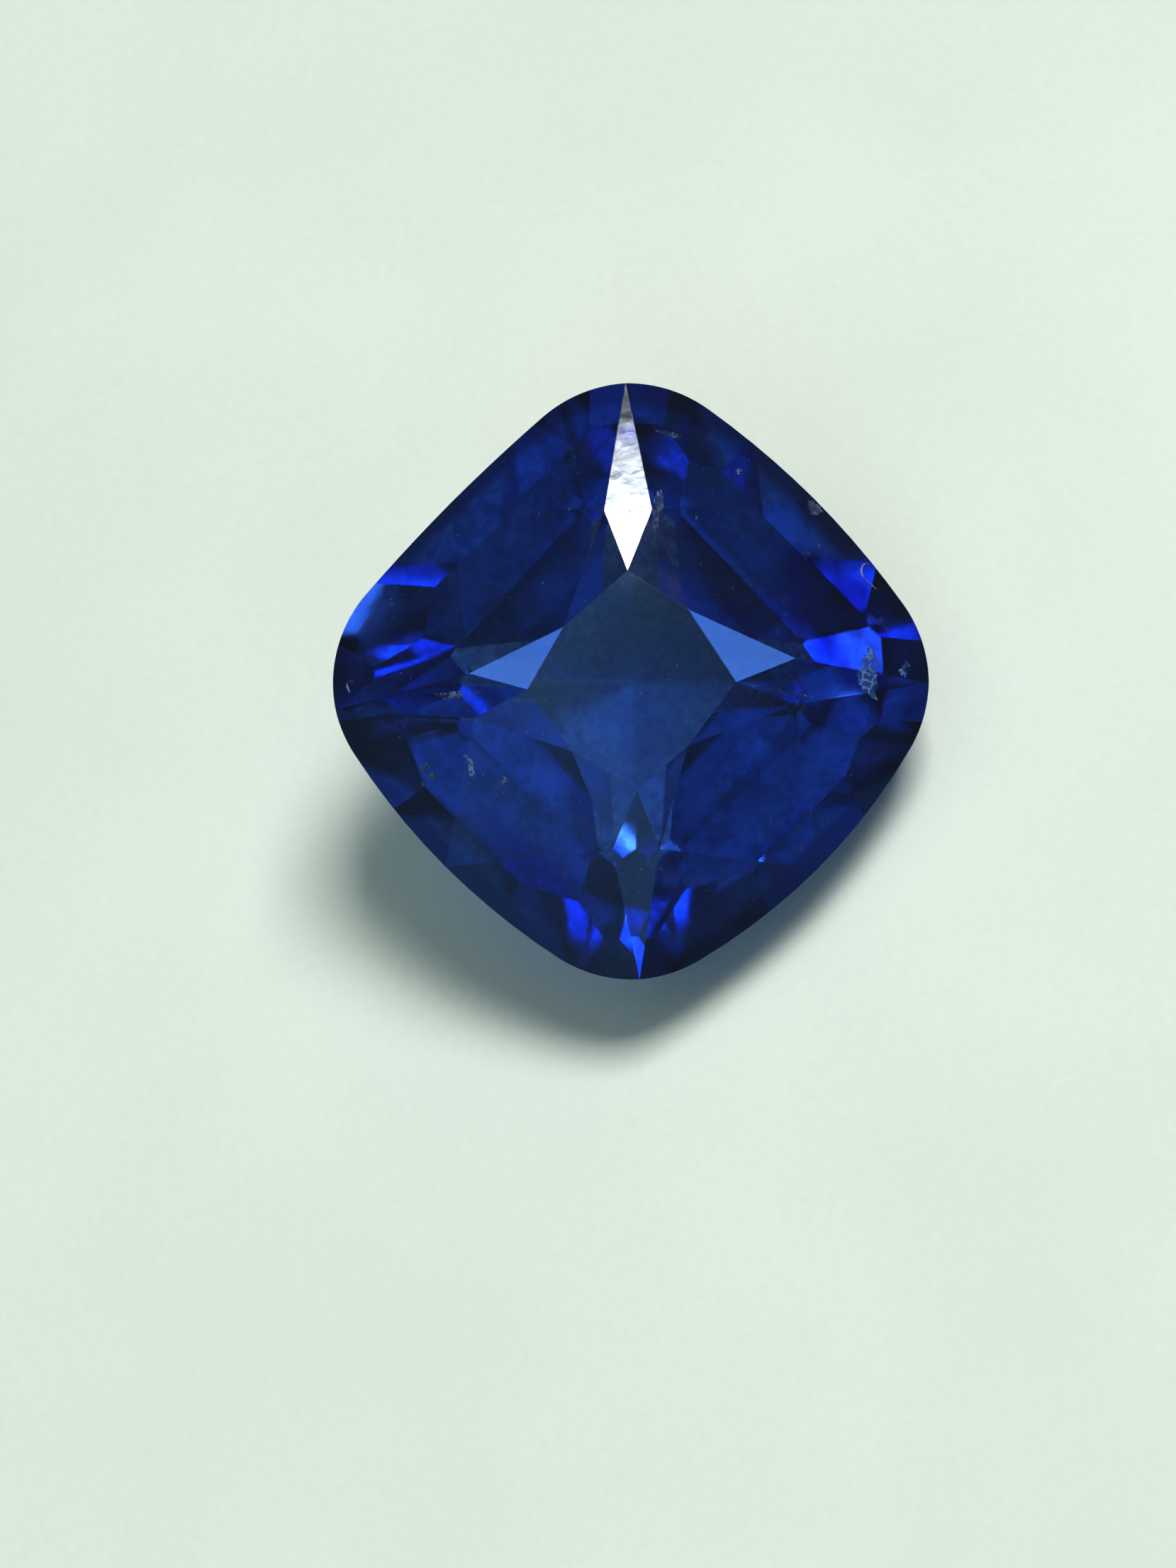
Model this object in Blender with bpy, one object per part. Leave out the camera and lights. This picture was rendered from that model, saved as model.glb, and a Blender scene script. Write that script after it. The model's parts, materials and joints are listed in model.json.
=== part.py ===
"""A cushion cut blue sapphire, shaped the way a cutter shapes the real stone.

The stone starts as a bar with the rounded square outline of the girdle.  Flat facets are then
ground on it one after another: crown facets above the girdle, pavilion facets below it.  The
finished stone is tipped over until it lies on one of its four lowest facets, because it cannot
stand on its point.

While it is cut, the stone stands upright: its axis is Z, its table faces up, the middles of its
four sides face +X, +Y, -X and -Y, and Z = 0 is the lower edge of the girdle.  Side k faces the
direction 90 k degrees and corner k lies at 45 + 90 k degrees, between side k and side k + 1.
"""

import math
from dataclasses import dataclass

import bpy
from mathutils import Matrix, Vector

MM = 0.001
QUARTER = 90.0
EIGHTH = 45.0

# The outline of the girdle, seen along the axis
CORNER_REACH = 5.74 * MM
CORNER_ROUNDING = 2.58 * MM
CORNER_STEPS = 24
SIDE_STEPS = 10


@dataclass(frozen=True)
class Side:
    """One side of the stone: its bulge, the table's point over it, and its pavilion facets.

    Turns and slopes are in degrees.  A turn is how far a facet, or a point of the table, is
    swung from the side's true direction; the stone was cut by hand, so no two sides agree.
    """

    reach: float
    table_radius: float
    table_turn: float
    girdle_slope: float = 53.0
    girdle_turn: float = 0.0
    wing_slopes: tuple = (53.0, 53.0)
    wing_turns: tuple = (-13.0, 13.0)
    middle_slope: float = 40.0
    middle_turn: float = 0.0
    middle_inner: float = 1.95 * MM
    culet_slope: float = 28.0
    culet_turn: float = 0.0


@dataclass(frozen=True)
class Corner:
    """One corner of the stone: the table's point there, its kite and its pavilion facets."""

    table_radius: float
    table_turn: float
    shoulder_radius: float
    kite_turn: float
    girdle_slope: float = 54.3
    girdle_turn: float = 0.0
    middle_slope: float = 38.8
    middle_turn: float = 0.0
    middle_inner: float = 2.50 * MM


SIDES = (
    Side(
        reach=5.00 * MM,
        table_radius=1.73 * MM,
        table_turn=6.0,
        wing_slopes=(56.0, 53.0),
        culet_turn=1.0,
    ),
    Side(
        reach=4.89 * MM,
        table_radius=1.64 * MM,
        table_turn=7.0,
        wing_slopes=(54.5, 50.0),
        middle_slope=40.5,
        culet_turn=-1.5,
    ),
    Side(
        reach=5.05 * MM,
        table_radius=1.76 * MM,
        table_turn=5.0,
        wing_slopes=(53.0, 52.0),
        middle_slope=39.5,
        culet_turn=0.5,
    ),
    Side(
        reach=5.10 * MM,
        table_radius=1.65 * MM,
        table_turn=-4.0,
        wing_slopes=(51.5, 55.0),
        middle_inner=2.10 * MM,
    ),
)
CORNERS = (
    Corner(table_radius=2.09 * MM, table_turn=1.9, shoulder_radius=3.29 * MM, kite_turn=1.0),
    Corner(table_radius=1.98 * MM, table_turn=5.0, shoulder_radius=3.10 * MM, kite_turn=5.5),
    Corner(table_radius=2.09 * MM, table_turn=3.0, shoulder_radius=3.26 * MM, kite_turn=1.7),
    Corner(table_radius=2.00 * MM, table_turn=-1.0, shoulder_radius=3.17 * MM, kite_turn=-0.3),
)

# Heights from the lower edge of the girdle, and the crown's own angles
TABLE_HEIGHT = 1.95 * MM
KITE_SLOPE = 21.0
KITE_HALF_ANGLE = 8.0
CULET_DEPTH = 4.30 * MM
CULET_SHIFT = (0.05 * MM, -0.05 * MM)
BAR_DEPTH = 6.0 * MM

# The stone lies on the culet facet of this side
REST_SIDE = 3

CUT_TOLERANCE = 1e-8
SHARP_ANGLE = math.radians(4.0)

SAPPHIRE_BLUE = (0.010, 0.028, 0.150, 1.0)
POLISH_ROUGHNESS = 0.05


def direction(degrees):
    """Return the level unit vector that points towards an azimuth."""
    angle = math.radians(degrees)
    return Vector((math.cos(angle), math.sin(angle), 0.0))


def arc(centre, radius, start, stop, steps):
    """Return points along an arc from start to stop degrees, without its last point."""
    return [centre + radius * direction(start + (stop - start) * i / steps) for i in range(steps)]


def corner_centre(k):
    """Return the centre of the arc that rounds corner k."""
    return (CORNER_REACH - CORNER_ROUNDING) * direction(EIGHTH + QUARTER * k)


def side_arc(k):
    """Return side k's arc as its centre, its radius and half the angle that it spans.

    The arc touches the roundings of both neighbouring corners and bulges out to the side's
    reach, which fixes its radius.
    """
    offset = (CORNER_REACH - CORNER_ROUNDING) / math.sqrt(2.0)
    reach = SIDES[k].reach
    excess = offset + CORNER_ROUNDING - reach
    radius = (CORNER_ROUNDING**2 - offset**2 - (offset - reach) ** 2) / (2.0 * excess)
    centre = (reach - radius) * direction(QUARTER * k)
    return centre, radius, math.degrees(math.atan2(offset, offset - reach + radius))


def outline():
    """Return the girdle's outline as level points, counter-clockwise."""
    points = []
    for k in range(4):
        centre, radius, half = side_arc(k)
        next_half = side_arc((k + 1) % 4)[2]
        middle = QUARTER * k
        points += arc(centre, radius, middle - half, middle + half, SIDE_STEPS)
        points += arc(
            corner_centre(k), CORNER_ROUNDING, middle + half, middle + QUARTER - next_half, CORNER_STEPS
        )
    return points


def outline_at(azimuth):
    """Return the point of the outline that lies in one direction from the axis."""
    ray = direction(azimuth)
    ring = outline()
    for start, stop in zip(ring, ring[1:] + ring[:1]):
        run = stop - start
        across = ray.x * run.y - ray.y * run.x
        if abs(across) < 1e-12:
            continue
        share = (start.x * ray.y - start.y * ray.x) / across
        reach = (start.x * run.y - start.y * run.x) / across
        if 0.0 <= share <= 1.0 and reach > 0.0:
            return reach * ray
    raise ValueError("the outline is open")


@dataclass(frozen=True)
class Facet:
    """A flat face to grind: a point on it and the direction that it faces."""

    name: str
    point: Vector
    normal: Vector

    def height_at(self, place):
        """Return the facet's height over a level point."""
        level = Vector((place.x, place.y, 0.0))
        return self.normal.dot(self.point - level) / self.normal.z


def sloping_facet(name, azimuth, slope, point, faces_up):
    """Return the facet that faces an azimuth at a slope from the girdle's plane."""
    angle = math.radians(slope)
    rise = math.cos(angle) if faces_up else -math.cos(angle)
    return Facet(name, point, math.sin(angle) * direction(azimuth) + Vector((0.0, 0.0, rise)))


def facet_through(name, first, second, third):
    """Return the facet through three points, facing away from the axis and upwards."""
    normal = (second - first).cross(third - first).normalized()
    return Facet(name, first, normal if normal.z > 0.0 else -normal)


def lift(place, height):
    """Return a level point at a height."""
    return Vector((place.x, place.y, height))


def table_corner(k):
    """Return the table's point at corner k."""
    corner = CORNERS[k % 4]
    azimuth = EIGHTH + QUARTER * k + corner.table_turn
    return lift(corner.table_radius * direction(azimuth), TABLE_HEIGHT)


def table_middle(k):
    """Return the table's point over the middle of side k."""
    side = SIDES[k % 4]
    return lift(side.table_radius * direction(QUARTER * k + side.table_turn), TABLE_HEIGHT)


def kite(k):
    """Return the narrow kite facet that runs from the table out to corner k."""
    azimuth = EIGHTH + QUARTER * k + CORNERS[k % 4].kite_turn
    return sloping_facet(f"kite_{k % 4}", azimuth, KITE_SLOPE, table_corner(k), faces_up=True)


def shoulder(k, hand):
    """Return the wide point of kite k, on its clockwise (-1) or counter-clockwise (+1) edge."""
    corner = CORNERS[k % 4]
    azimuth = EIGHTH + QUARTER * k + corner.kite_turn + hand * KITE_HALF_ANGLE
    place = corner.shoulder_radius * direction(azimuth)
    return lift(place, kite(k).height_at(place))


def main_facet(k):
    """Return the wide facet that slopes from the table down to side k."""
    return facet_through(f"main_{k % 4}", table_middle(k), shoulder(k - 1, 1), shoulder(k, -1))


def crown_facets():
    """Return every crown facet but the table: kites, mains, stars and girdle facets."""
    facets = []
    for k in range(4):
        facets += [kite(k), main_facet(k)]
        for hand, side in ((-1, k), (1, k + 1)):
            wide = shoulder(k, hand)
            facets.append(facet_through(f"star_{k}_{side}", table_corner(k), table_middle(side), wide))
            tip = outline_at(EIGHTH + QUARTER * k + CORNERS[k].kite_turn)
            tip = lift(tip, kite(k).height_at(tip))
            middle = outline_at(QUARTER * side)
            middle = lift(middle, main_facet(side).height_at(middle))
            facets.append(facet_through(f"girdle_{k}_{side}", wide, tip, middle))
    return facets


def culet_facet(k):
    """Return the shallow facet that runs from the middle step of side k in to the culet."""
    side = SIDES[k]
    culet = Vector((*CULET_SHIFT, -CULET_DEPTH))
    azimuth = QUARTER * k + side.culet_turn
    return sloping_facet(f"culet_step_{k}", azimuth, side.culet_slope, culet, faces_up=False)


def on_culet_facets(azimuth, radius):
    """Return the point where the culet facets lie under one direction and distance."""
    place = radius * direction(azimuth)
    return lift(place, max(culet_facet(k).height_at(place) for k in range(4)))


def girdle_step_facet(name, azimuth, slope):
    """Return a steep facet that meets the lower edge of the girdle, facing one azimuth."""
    rim = max(outline(), key=direction(azimuth).dot)
    return sloping_facet(name, azimuth, slope, rim, faces_up=False)


def pavilion_facets():
    """Return every pavilion facet: the culet's, then the middle step's, then the girdle's."""
    facets = [culet_facet(k) for k in range(4)]
    for k in range(4):
        side, corner = SIDES[k], CORNERS[k]
        facing, corner_facing = QUARTER * k, QUARTER * k + EIGHTH
        azimuth = facing + side.middle_turn
        inner = on_culet_facets(azimuth, side.middle_inner)
        facets.append(sloping_facet(f"middle_step_{k}", azimuth, side.middle_slope, inner, faces_up=False))
        azimuth = corner_facing + corner.middle_turn
        inner = on_culet_facets(azimuth, corner.middle_inner)
        facets.append(
            sloping_facet(f"middle_corner_{k}", azimuth, corner.middle_slope, inner, faces_up=False)
        )
        facets.append(girdle_step_facet(f"girdle_step_{k}", facing + side.girdle_turn, side.girdle_slope))
        for turn, slope in zip(side.wing_turns, side.wing_slopes):
            facets.append(girdle_step_facet(f"wing_{k}", facing + turn, slope))
        azimuth = corner_facing + corner.girdle_turn
        facets.append(girdle_step_facet(f"girdle_corner_{k}", azimuth, corner.girdle_slope))
    return facets


@dataclass
class Rough:
    """A convex solid that facets are ground on: its points, and its faces by their indices."""

    points: list
    faces: list


def rounded_bar():
    """Return the bar that the stone is cut from: the outline, carried from table to culet."""
    ring = outline()
    count = len(ring)
    points = [lift(place, -BAR_DEPTH) for place in ring] + [lift(place, TABLE_HEIGHT) for place in ring]
    faces = [list(range(count - 1, -1, -1)), list(range(count, 2 * count))]
    for i in range(count):
        j = (i + 1) % count
        faces.append([i, j, count + j, count + i])
    return Rough(points, faces)


def grind(rough, facet):
    """Grind one facet: everything outside its plane goes, and a flat face closes the cut.

    The faces are walked in order and each edge is cut once, so every run gives the same
    points in the same order.
    """
    heights = [facet.normal.dot(point - facet.point) for point in rough.points]
    heights = [0.0 if abs(height) < CUT_TOLERANCE else height for height in heights]
    cuts = {}

    def cut(first, second):
        """Return the index of the point where the plane cuts an edge."""
        start, stop = min(first, second), max(first, second)
        if (start, stop) not in cuts:
            share = heights[start] / (heights[start] - heights[stop])
            cuts[start, stop] = len(rough.points)
            rough.points.append(rough.points[start].lerp(rough.points[stop], share))
            heights.append(0.0)
        return cuts[start, stop]

    faces, rim = [], {}
    for face in rough.faces:
        if min(heights[i] for i in face) >= 0.0:
            continue
        loop = []
        for first, second in zip(face, face[1:] + face[:1]):
            if heights[first] <= 0.0:
                loop.append(first)
            if heights[first] * heights[second] < 0.0:
                loop.append(cut(first, second))
        faces.append(loop)
        for first, second in zip(loop, loop[1:] + loop[:1]):
            if heights[first] == heights[second] == 0.0:
                rim[second] = first
    if len(rim) < 3:
        raise ValueError(f"facet {facet.name} misses the stone")
    cap = [min(rim)]
    while rim[cap[-1]] != cap[0]:
        cap.append(rim[cap[-1]])
    rough.faces = faces + [cap]


def solid_mesh(rough):
    """Return the ground stone as a mesh, without the points that were cut away."""
    kept = sorted({i for face in rough.faces for i in face})
    place = {old: new for new, old in enumerate(kept)}
    mesh = bpy.data.meshes.new("sapphire")
    mesh.from_pydata(
        [rough.points[i] for i in kept], [], [[place[i] for i in face] for face in rough.faces]
    )
    mesh.update()
    return mesh


def lay_down(mesh):
    """Tip the stone until its rest facet faces down, with that facet on Z = 0.

    The box of the tipped stone is centred on the Z axis.
    """
    facet = culet_facet(REST_SIDE)
    tip = facet.normal.rotation_difference(Vector((0.0, 0.0, -1.0)))
    mesh.transform(tip.to_matrix().to_4x4())
    spans = [[getattr(vertex.co, axis) for vertex in mesh.vertices] for axis in "xyz"]
    middle = Vector([(min(span) + max(span)) / 2.0 for span in spans])
    mesh.transform(Matrix.Translation((-middle.x, -middle.y, -min(spans[2]))))


def sapphire_material():
    """Return the plain blue material of the solid stone."""
    material = bpy.data.materials.new("sapphire")
    material.use_nodes = True
    shader = material.node_tree.nodes["Principled BSDF"]
    shader.inputs["Base Color"].default_value = SAPPHIRE_BLUE
    shader.inputs["Roughness"].default_value = POLISH_ROUGHNESS
    shader.inputs["Metallic"].default_value = 0.0
    material.diffuse_color = SAPPHIRE_BLUE
    return material


def build_sapphire():
    """Cut the stone, lay it down and return its object."""
    rough = rounded_bar()
    for facet in pavilion_facets() + crown_facets():
        grind(rough, facet)
    mesh = solid_mesh(rough)
    lay_down(mesh)
    mesh.shade_smooth()
    mesh.set_sharp_from_angle(angle=SHARP_ANGLE)
    mesh.materials.append(sapphire_material())
    stone = bpy.data.objects.new("sapphire", mesh)
    bpy.context.scene.collection.objects.link(stone)
    return stone


def clear_scene():
    """Remove the objects of the startup scene."""
    for item in list(bpy.data.objects):
        bpy.data.objects.remove(item, do_unlink=True)


def main():
    """Build the model."""
    clear_scene()
    build_sapphire()


main()
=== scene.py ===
"""Looks of a cushion cut blue sapphire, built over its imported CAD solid.

The loose stone lies tipped on one pavilion facet on a pale floor, and the camera looks
straight down on its table.  The stone itself is a merged copy of the CAD solid with its
facet junctions rounded by 0.014 mm; what a loupe shows in it and on it, such as
feathers, pinpoints and a curled fibre, is added as small closed meshes.
"""

import json
import logging
import math
from dataclasses import dataclass
from enum import Enum
from typing import Any, Union

import bmesh
import bpy
import numpy as np
from mathutils import Matrix, Vector
from mathutils.bvhtree import BVHTree


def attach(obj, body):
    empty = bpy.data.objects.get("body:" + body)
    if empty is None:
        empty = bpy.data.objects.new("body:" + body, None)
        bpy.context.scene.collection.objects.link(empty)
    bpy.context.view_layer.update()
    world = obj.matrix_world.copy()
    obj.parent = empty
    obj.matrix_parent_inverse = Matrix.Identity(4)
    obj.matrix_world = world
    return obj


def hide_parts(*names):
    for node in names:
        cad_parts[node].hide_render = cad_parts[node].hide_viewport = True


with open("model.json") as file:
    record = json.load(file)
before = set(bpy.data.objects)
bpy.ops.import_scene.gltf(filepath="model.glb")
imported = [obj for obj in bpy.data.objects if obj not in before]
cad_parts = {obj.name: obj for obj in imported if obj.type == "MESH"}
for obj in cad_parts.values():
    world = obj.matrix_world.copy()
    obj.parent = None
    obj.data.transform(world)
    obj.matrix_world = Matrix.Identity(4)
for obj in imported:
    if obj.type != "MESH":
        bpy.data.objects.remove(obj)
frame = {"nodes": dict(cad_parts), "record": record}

LOG = logging.getLogger("sapphire")
MM = 0.001
NODE = "sapphire"
BODY = "root"
WEAR = "wear"

Colour = tuple[float, float, float]
Pair = tuple[float, float]
WHITE = (1.0, 1.0, 1.0, 1.0)
BLACK = (0.0, 0.0, 0.0, 1.0)


def opaque(colour: Colour, share: float = 1.0) -> tuple[float, ...]:
    """Returns a colour times a share, with an alpha of one."""
    return tuple(share * part for part in colour) + (1.0,)


class Shader:
    """Builds one node tree; every value in it is wrapped as a Value."""

    def __init__(self, owner: Union[bpy.types.Material, bpy.types.World, bpy.types.Light]) -> None:
        """Clears the owner's node tree and keeps it.

        Args:
            owner: the material, world or light that the tree belongs to.
        """
        owner.use_nodes = True
        self.owner = owner
        self.tree = owner.node_tree
        self.tree.nodes.clear()

    def node(self, kind: str, settings: dict[str, Any] | None = None, **sockets: Any) -> bpy.types.Node:
        """Adds a node.

        Args:
            kind: the node's type, without the ShaderNode in front.
            settings: the node's own properties, set before its sockets.
            sockets: values or links by socket name, with _ for a space, or in_0 for a place.

        Returns:
            The new node.
        """
        made = self.tree.nodes.new("ShaderNode" + kind)
        for name, value in (settings or {}).items():
            setattr(made, name, value)
        for name, value in sockets.items():
            place = int(name[3:]) if name.startswith("in_") else name.replace("_", " ")
            if isinstance(value, Value):
                self.tree.links.new(value.socket, made.inputs[place])
            else:
                made.inputs[place].default_value = value
        return made

    def value(
        self, kind: str, settings: dict[str, Any] | None = None, out: str | int = 0, **sockets: Any
    ) -> "Value":
        """Adds a node and wraps one of its outputs.

        Args:
            kind: as for node.
            settings: as for node.
            out: the name or place of the output.
            sockets: as for node.

        Returns:
            The wrapped output.
        """
        return Value(self, self.node(kind, settings, **sockets).outputs[out])

    def object_place(self) -> "Value":
        """Returns the Object coordinates."""
        return self.value("TexCoord", out="Object")

    def noise(self, place: "Value", grain: float, detail: float = 2.0, **more: Any) -> "Value":
        """Adds a noise of about the given grain size, in metres, from 0 to 1.

        Args:
            place: the coordinates that it reads.
            grain: the size of a lump.
            detail: the number of octaves.
            more: other sockets of the noise.

        Returns:
            The noise's factor.
        """
        return self.value("TexNoise", Vector=place, Scale=1.0 / grain, Detail=detail, **more)

    def ramp(
        self, factor: "Value", low: float, high: float, from_value: float = 0.0, to_value: float = 1.0
    ) -> "Value":
        """Maps low to high smoothly onto from_value to to_value.

        Args:
            factor: the value that is mapped.
            low: where the change starts.
            high: where it ends.
            from_value: the result at low.
            to_value: the result at high.

        Returns:
            The mapped value.
        """
        return self.value(
            "MapRange",
            {"interpolation_type": "SMOOTHSTEP"},
            Value=factor,
            From_Min=low,
            From_Max=high,
            To_Min=from_value,
            To_Max=to_value,
        )

    def blend(self, factor: Any, first: Any, second: Any, way: str = "MIX") -> "Value":
        """Mixes two colours, which are inputs 6 and 7 of a Mix node and leave it by output 2.

        Args:
            factor: 0 gives the first and 1 the second.
            first: a colour or a link.
            second: a colour or a link.
            way: the node's blend type.

        Returns:
            The mixed colour.
        """
        settings = {"data_type": "RGBA", "blend_type": way}
        return self.value("Mix", settings, out=2, in_0=factor, in_6=first, in_7=second)

    def dot(self, vector: "Value", along: Vector) -> "Value":
        """Returns the dot product of a vector and a fixed direction."""
        settings = {"operation": "DOT_PRODUCT"}
        return self.value("VectorMath", settings, out="Value", in_0=vector, in_1=tuple(along))

    def finish(self, **sockets: "Value") -> None:
        """Links the finished shaders to the tree's output.

        Args:
            sockets: the output's sockets, such as Surface and Volume.
        """
        outputs = {
            bpy.types.World: "OutputWorld",
            bpy.types.Light: "OutputLight",
            bpy.types.Material: "OutputMaterial",
        }
        kind = next(name for owner, name in outputs.items() if isinstance(self.owner, owner))
        self.node(kind, **sockets)


class Value:
    """A socket that can be added, subtracted, multiplied, divided and raised to a power."""

    def __init__(self, shader: Shader, socket: bpy.types.NodeSocket) -> None:
        """Keeps the socket and the tree that it is in."""
        self.shader = shader
        self.socket = socket

    def _maths(self, operation: str, first: Any, second: Any) -> "Value":
        """Adds one Math node.

        Args:
            operation: the node's operation.
            first: a number or a Value.
            second: a number or a Value.

        Returns:
            The node's result.
        """
        return self.shader.value("Math", {"operation": operation}, in_0=first, in_1=second)

    def __add__(self, other: Any) -> "Value":
        """self + other."""
        return self._maths("ADD", self, other)

    def __radd__(self, other: Any) -> "Value":
        """other + self."""
        return self._maths("ADD", other, self)

    def __sub__(self, other: Any) -> "Value":
        """self - other."""
        return self._maths("SUBTRACT", self, other)

    def __rsub__(self, other: Any) -> "Value":
        """other - self."""
        return self._maths("SUBTRACT", other, self)

    def __mul__(self, other: Any) -> "Value":
        """self * other."""
        return self._maths("MULTIPLY", self, other)

    def __rmul__(self, other: Any) -> "Value":
        """other * self."""
        return self._maths("MULTIPLY", other, self)

    def __truediv__(self, other: Any) -> "Value":
        """self / other."""
        return self._maths("DIVIDE", self, other)

    def __pow__(self, other: Any) -> "Value":
        """self to the power of other."""
        return self._maths("POWER", self, other)

    def size(self) -> "Value":
        """The value without its sign."""
        return self._maths("ABSOLUTE", self, 0.0)

    def at_most(self, other: float) -> "Value":
        """The smaller of the two."""
        return self._maths("MINIMUM", self, other)


@dataclass(frozen=True)
class StoneAxes:
    """The stone's own directions, as the camera sees them.

    The girdle's corners point up, down, left and right in the picture, and its sides run
    along the slants between them.
    """

    table: Vector
    axis: Vector
    right: Vector
    up: Vector

    @classmethod
    def from_record(cls, record: dict[str, Any]) -> "StoneAxes":
        """Works the directions out from the table's mount.

        The stone is tipped about X alone, so one side's direction stays X; the other is
        square to X and the axis, and the corners lie halfway between them.

        Args:
            record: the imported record.

        Returns:
            The axes.
        """
        mount = next(m for m in record["mounts"] if m["name"] == "table")
        axis = Vector(mount["axis"]).normalized()
        side = Vector((1.0, 0.0, 0.0))
        ahead = axis.cross(side)
        return cls(Vector(mount["pos_m"]), axis, (side - ahead).normalized(), (side + ahead).normalized())

    def place(self, right: float, up: float, depth: float = 0.0) -> Vector:
        """Returns the point so far right of, above and under the table's middle."""
        return self.table + self.right * right + self.up * up - self.axis * depth

    def towards(self, lean: float, bearing: float) -> Vector:
        """Gives a direction that leans away from the stone's axis.

        Args:
            lean: the angle from the axis, in degrees.
            bearing: which way it leans, in degrees clockwise from the picture's up.

        Returns:
            The unit direction.
        """
        tilt, turn = math.radians(lean), math.radians(bearing)
        aside = self.up * math.cos(turn) + self.right * math.sin(turn)
        return self.axis * math.cos(tilt) + aside * math.sin(tilt)


@dataclass(frozen=True)
class ColourZone:
    """A soft-edged ellipse of another colour, in millimetres as the camera sees it.

    Right and up give its middle, wide and high its half axes, and turn the degrees that it
    is turned clockwise.  The tint multiplies the colour under it.  Some stand for colour
    zoning of the stone, and some are painted shade that dims a bright patch of light in it.
    """

    right: float
    up: float
    wide: float
    high: float
    turn: float
    tint: Colour

    def reach(self, right: "Value", up: "Value") -> "Value":
        """Gives how far out in the zone a place is: 0 in its middle and 1 on the ellipse.

        Args:
            right: millimetres right of the table's middle.
            up: millimetres above it in the picture.

        Returns:
            The root of the sum of the squares of both distances, each over its half axis.
        """
        turn = math.radians(self.turn)
        aside = (right - self.right) * math.cos(turn) - (up - self.up) * math.sin(turn)
        along = (right - self.right) * math.sin(turn) + (up - self.up) * math.cos(turn)
        return ((aside / self.wide) ** 2.0 + (along / self.high) ** 2.0) ** 0.5


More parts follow.
